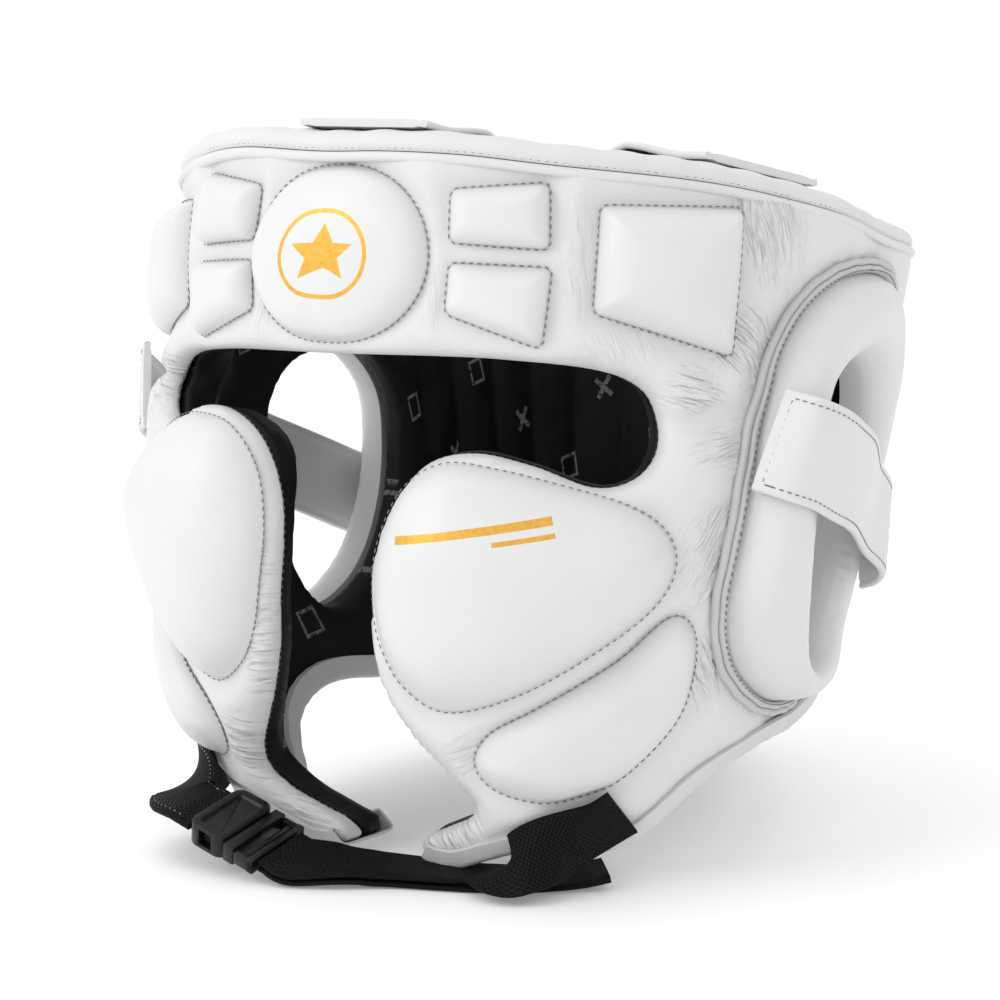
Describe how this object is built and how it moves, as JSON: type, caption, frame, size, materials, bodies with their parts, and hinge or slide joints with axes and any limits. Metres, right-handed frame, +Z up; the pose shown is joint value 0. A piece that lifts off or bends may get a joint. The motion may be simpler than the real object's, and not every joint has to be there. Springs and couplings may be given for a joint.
{
  "type": "boxing headgear",
  "caption": "Open-faced padded boxing headgear in white leather with black lining, raised pads, padded ear rings, crossed crown straps and a buckled chin strap.",
  "frame": {"origin": "middle of the footprint at the surface it rests on", "axes": "+Z up, the face opening looks along -Y, the wearer's left side is +X"},
  "size_m": [0.2592, 0.284, 0.2292],
  "materials": {
    "white_leather": "semi-gloss",
    "black_lining": "matte",
    "grey_welt": "satin",
    "black_webbing": "matte",
    "black_plastic": "satin"
  },
  "bodies": {
    "root": {"outer_shell": "white_leather", "lining": "black_lining", "rim_roll": "white_leather", "rim_piping": "white_leather", "hem_binding": "grey_welt", "medallion": "white_leather", "brow_pad_upper_near": "white_leather", "brow_pad_upper_far": "white_leather", "brow_pad_lower_near": "white_leather", "brow_pad_lower_far": "white_leather", "temple_pad_near": "white_leather", "temple_pad_far": "white_leather", "cheek_pad_near": "white_leather", "cheek_pad_far": "white_leather", "jaw_pad_near": "white_leather", "jaw_pad_far": "white_leather", "ear_ring_near": "white_leather", "ear_ring_far": "white_leather", "ear_welt_near": "grey_welt", "ear_welt_far": "grey_welt", "ear_strap_near": "white_leather", "ear_strap_far": "white_leather", "crown_strap_long": "white_leather", "crown_strap_cross": "white_leather", "chin_webbing": "black_webbing", "chin_webbing_tail": "black_webbing", "anchor_tab": "black_webbing", "buckle_socket": "black_plastic", "buckle_plug": "black_plastic"}
  },
  "joints": []
}
